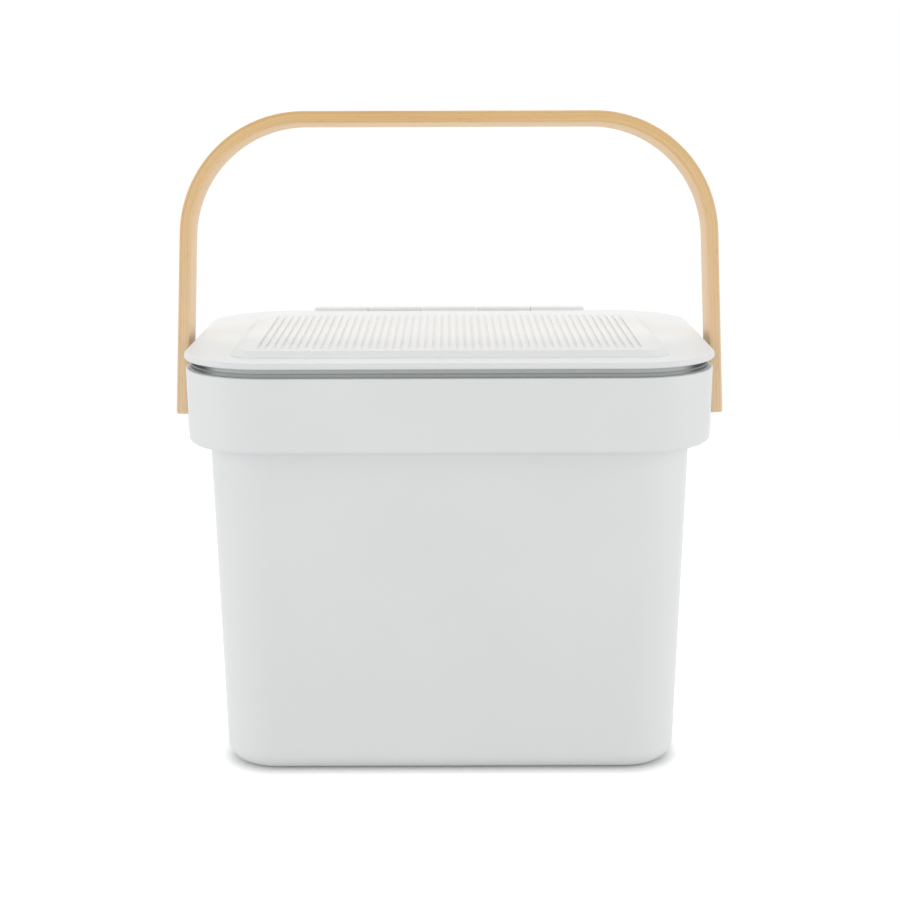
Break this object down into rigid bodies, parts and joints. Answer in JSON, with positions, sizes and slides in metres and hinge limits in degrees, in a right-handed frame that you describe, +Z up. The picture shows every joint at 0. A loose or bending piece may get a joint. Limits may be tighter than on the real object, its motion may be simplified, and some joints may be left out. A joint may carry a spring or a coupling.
{
  "type": "compost caddy",
  "caption": "Tapered countertop compost caddy with a stepped band, lift-out inner bucket, vented filter lid on a rear hinge and a bentwood carry handle.",
  "frame": {"origin": "centre of the flat base", "axes": "+Z up, +Y towards the hinge side, +X to the right seen from the front"},
  "size_m": [0.2788, 0.1888, 0.3198],
  "materials": {
    "white_plastic": "satin moulded",
    "grey_plastic": "satin moulded",
    "seal_rubber": "silicone",
    "charcoal_felt": "carbon-filled felt",
    "bentwood": "clear satin lacquer",
    "steel": "zinc plated",
    "bush_brass": "turned",
    "spacer_plastic": "natural nylon"
  },
  "bodies": {
    "bin": {"bin_body": "white_plastic", "inner_bucket": "grey_plastic", "hinge_pin": "steel", "spacer_left": "spacer_plastic", "spacer_right": "spacer_plastic", "pivot_screw_left": "steel", "pivot_screw_right": "steel", "nut_washer_left": "steel", "nut_washer_right": "steel", "lock_nut_left": "steel", "lock_nut_right": "steel"},
    "lid": {"lid": "white_plastic", "lid_seal": "seal_rubber", "vent_cover": "white_plastic", "filter_pad": "charcoal_felt"},
    "handle": {"handle": "bentwood", "handle_bush_left": "bush_brass", "handle_bush_right": "bush_brass"}
  },
  "joints": [
    {"name": "lid_hinge", "type": "hinge", "parent": "bin", "child": "lid", "pos_m": [0, 0.092, 0.2055], "axis": [-1, 0, 0], "range_deg": [0, 100]},
    {"name": "handle_swing", "type": "hinge", "parent": "bin", "child": "handle", "pos_m": [0, 0, 0.18], "axis": [-1, 0, 0], "range_deg": [0, 128]}
  ],
  "couplings": [
    {"joint": "handle_swing", "follows": "lid_hinge", "ratio": 1.28}
  ]
}
